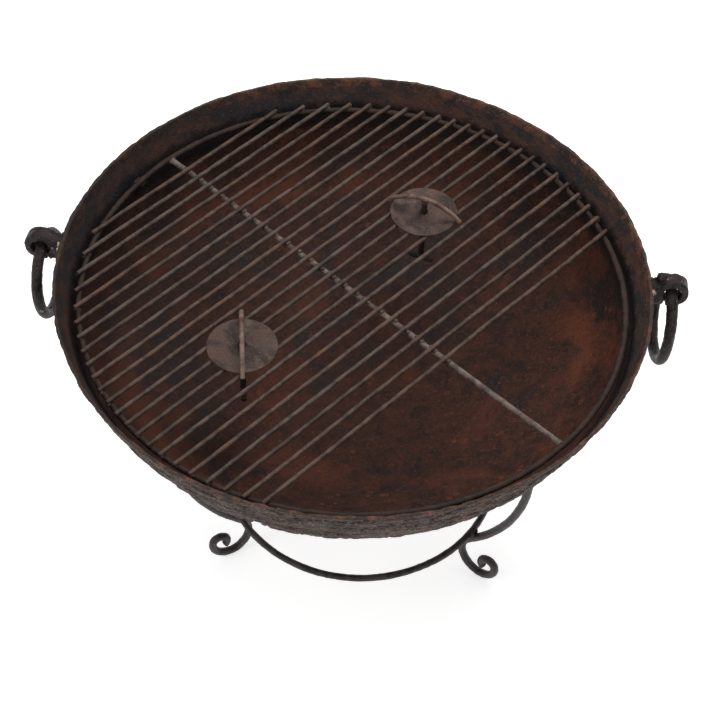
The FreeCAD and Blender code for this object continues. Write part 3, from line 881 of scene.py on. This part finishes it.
def make_stem_and_toggle(name):
    node = name + "_lifter_stem"
    centre = upright(node)
    guard_top = upright(name + "_lifter_guard").z + GUARD_HALF
    toggle_height = guard_top - TOGGLE_DROP
    start = Vector((centre.x, centre.y, toggle_height + 2 * MM))
    end = Vector((centre.x, centre.y, guard_top + GRIP_RISE - 1 * MM))
    rod(name + "_stem", straight_path(start, end, 3 * MM), STEM_ROD, (1, 0, 0), STEM, name + "_lifter",
        node, pitting=0.5 * MM, seed=5.0, sides=18)
    node = name + "_lifter_toggle"
    direction = math.radians(GRIP_DIRECTION[name])
    along = Vector((math.cos(direction), math.sin(direction), 0)) * TOGGLE_REACH
    centre = upright(node)
    rod(name + "_toggle", straight_path(centre - along, centre + along, 2 * MM), TOGGLE_ROD, (0, 0, 1),
        STEM, name + "_lifter", node, pitting=0.5 * MM, seed=6.0, sides=18)
    top = Vector((centre.x, centre.y, guard_top + GRIP_RISE - 5 * MM))
    bottom = Vector((centre.x, centre.y, toggle_height + 4.5 * MM))
    places = []
    for joint, spread in ((top, 3.6), (bottom, 3.4)):
        for k in range(7):
            turn = 2 * math.pi * k / 7
            place = joint + Vector((math.cos(turn), math.sin(turn), 0)) * spread * MM
            places.append((place, [2.0 * MM, 2.0 * MM, 2.6 * MM], turn))
    lumps(name + "_lifter_welds", places, GRATE_WELD, name + "_lifter", "lifter_rod", 0.6 * MM)


# ---------------------------------------------------------------- stand

def leg_path(rod_radius, ring_radius, ring_height):
    """(distance, height) points of a leg's centre line: shin, outward sweep, scroll and curl."""
    leg_radius = ring_radius + 2 * rod_radius
    shin = np.array([leg_radius - SHIN_RADIUS, ring_height - LEG_SHOULDER_DROP])
    turn = math.acos((SWEEP_DISTANCE - shin[0]) / (SHIN_RADIUS + SWEEP_RADIUS))
    sweep = shin + (SHIN_RADIUS + SWEEP_RADIUS) * np.array([math.cos(turn), -math.sin(turn)])
    scroll_height = rod_radius - 0.5 * MM + SCROLL_RADIUS
    sweep_turn = math.asin((sweep[1] - scroll_height) / (SWEEP_RADIUS - SCROLL_RADIUS))
    scroll = sweep - (SWEEP_RADIUS - SCROLL_RADIUS) * np.array([math.cos(sweep_turn), math.sin(sweep_turn)])
    lift = math.radians(15)
    curl = scroll + (SCROLL_RADIUS - CURL_RADIUS) * np.array([math.cos(lift), math.sin(lift)])
    arcs = [
        (shin, SHIN_RADIUS, 0, -turn, 60),
        (sweep, SWEEP_RADIUS, math.pi - turn, math.pi + sweep_turn, 36),
        (scroll, SCROLL_RADIUS, math.pi + sweep_turn, 2 * math.pi + lift, 36),
        (curl, CURL_RADIUS, lift, LEG_CURL_END, 26),
    ]
    points = [np.array([leg_radius, h]) for h in np.linspace(ring_height + 7 * MM, shin[1], 14)[:-1]]
    for centre, radius, start, end, count in arcs:
        for angle in np.linspace(start, end, count, endpoint=False):
            points.append(centre + radius * np.array([math.cos(angle), math.sin(angle)]))
    points.append(curl + CURL_RADIUS * np.array([math.cos(LEG_CURL_END), math.sin(LEG_CURL_END)]))
    return np.array(points)


def make_stand():
    ring_rod = size_of("stand_top_ring").z / 2
    ring_radius = size_of("stand_top_ring").x / 2 - ring_rod
    ring_height = middle("stand_top_ring").z
    hoop_rod = size_of("stand_lower_hoop").z / 2
    hoop_radius = size_of("stand_lower_hoop").x / 2 - hoop_rod
    hoop_height = middle("stand_lower_hoop").z
    rod("stand_upper_ring", hoop_path(ring_radius, ring_height, 5 * MM), ring_rod, (0, 0, 1), STAND,
        "stand", "stand_top_ring", closed=True, wobble=0.3 * MM, sides=20, pitting=0.5 * MM)
    rod("stand_hoop", hoop_path(hoop_radius, hoop_height, 4 * MM), hoop_rod, (0, 0, 1), STAND,
        "stand", "stand_lower_hoop", closed=True, wobble=0.8 * MM, sides=20,
        pitting=0.6 * MM, seed=2.0)
    outline = leg_path(ring_rod, ring_radius, ring_height)
    for node, azimuth in LEG_AZIMUTH.items():
        out = polar(1, azimuth, 0)
        path = np.array([[out.x * r, out.y * r, z] for r, z in outline])
        binormal = np.array([-out.y, out.x, 0])
        leg = rod(node.replace("leg", "scroll_leg"), path, ring_rod, binormal, STAND, "stand",
                  node, sides=22, wobble=0.8 * MM, pitting=0.6 * MM, seed=azimuth)
        level_foot(leg)
        places = []
        joints = ((ring_height, ring_radius + ring_rod, 6), (hoop_height, hoop_radius + hoop_rod, 5))
        for height, distance, spread in joints:
            for sway in random_source.uniform(-1, 1, size=(16, 3)):
                place = polar(distance + 1.5 * MM * sway[0], azimuth, height + spread * MM * sway[2])
                place += Vector((-out.y, out.x, 0)) * (spread * MM * sway[1])
                places.append((place, [3.4 * MM, 3.4 * MM, 3.0 * MM], 0.0))
        lumps(node + "_welds", places, STAND_WELD, "stand", "stand_rod", 0.9 * MM)


def level_foot(leg):
    """Presses what dips below the floor flat, as the worn underside of a scroll."""
    for vertex in leg.data.vertices:
        vertex.co.z = max(vertex.co.z, 0.0)


# ---------------------------------------------------------------- studio

# Angles in degrees, the distance from the middle of the rim in metres, the lens in millimetres.
CAMERA_AZIMUTH = 3.91
CAMERA_ELEVATION = 46.97
CAMERA_DISTANCE = 2.6284
CAMERA_PITCH = 49.40
CAMERA_HEADING = 3.5
CAMERA_ROLL = 2.38
CAMERA_LENS = 98.56


def make_camera():
    data = bpy.data.cameras.new("camera")
    data.lens = CAMERA_LENS
    camera = bpy.data.objects.new("camera", data)
    bpy.context.scene.collection.objects.link(camera)
    azimuth, elevation = math.radians(CAMERA_AZIMUTH), math.radians(CAMERA_ELEVATION)
    back = Vector((math.sin(azimuth) * math.cos(elevation), -math.cos(azimuth) * math.cos(elevation),
                   math.sin(elevation)))
    place = Vector((0, 0, RIM_HEIGHT)) + back * CAMERA_DISTANCE
    turn = Matrix.Rotation(math.radians(CAMERA_HEADING), 4, "Z")
    tilt = Matrix.Rotation(math.radians(90 - CAMERA_PITCH), 4, "X")
    roll = Matrix.Rotation(math.radians(CAMERA_ROLL), 4, "Z")
    camera.matrix_world = TIP @ Matrix.Translation(place) @ turn @ tilt @ roll
    bpy.context.scene.camera = camera


def area_light(name, place, target, size, power):
    data = bpy.data.lights.new(name, "AREA")
    data.shape = "DISK"
    data.size = size
    data.energy = power
    light = bpy.data.objects.new(name, data)
    bpy.context.scene.collection.objects.link(light)
    light.location = place
    light.rotation_euler = (Vector(target) - Vector(place)).to_track_quat("-Z", "Y").to_euler()


FLOOR_HALF = 6.0


def make_studio():
    """Pale floor in an even white surround, a broad soft light above and a weaker one at the front left."""
    world = bpy.data.worlds.new("studio")
    bpy.context.scene.world = world
    world.use_nodes = True
    background = world.node_tree.nodes["Background"]
    background.inputs["Color"].default_value = (1, 1, 1, 1)
    background.inputs["Strength"].default_value = 0.5
    corners = [(x * FLOOR_HALF, y * FLOOR_HALF, 0) for x, y in ((-1, -1), (1, -1), (1, 1), (-1, 1))]
    mesh = bpy.data.meshes.new("floor")
    mesh.from_pydata(corners, [], [(0, 1, 2, 3)])
    floor = bpy.data.objects.new("floor", mesh)
    bpy.context.scene.collection.objects.link(floor)
    paint = Paint("pale_floor")
    grain = paint.noise(0.4, 2, 0.5)
    tone = paint.mix(grain, (0.90, 0.90, 0.90, 1), (0.92, 0.92, 0.92, 1))
    paint.shader.inputs["Emission Color"].default_value = (1, 1, 1, 1)
    paint.shader.inputs["Emission Strength"].default_value = 0.6
    mesh.materials.append(paint.finish(tone, 0.9, paint.bumps((grain, 0.0002)), 0.1))
    area_light("top_light", (0.6, 1.0, 3.2), (0, 0, 0.3), 2.4, 55)
    area_light("fill_light", (-2.4, -1.6, 2.4), (0, 0, 0.3), 2.0, 24)
    bpy.context.scene.view_settings.view_transform = "Standard"


# ---------------------------------------------------------------- build

make_camera()
make_bowl()
for handle_side in HANDLE_AZIMUTH:
    make_eye(handle_side)
    make_ring(handle_side)
for lug, lug_azimuth in LUG_AZIMUTH.items():
    make_lug(lug, lug_azimuth)
make_grate()
for lifter in GRIP_DIRECTION:
    make_guard(lifter)
    make_grip(lifter)
    make_stem_and_toggle(lifter)
make_stand()
make_studio()
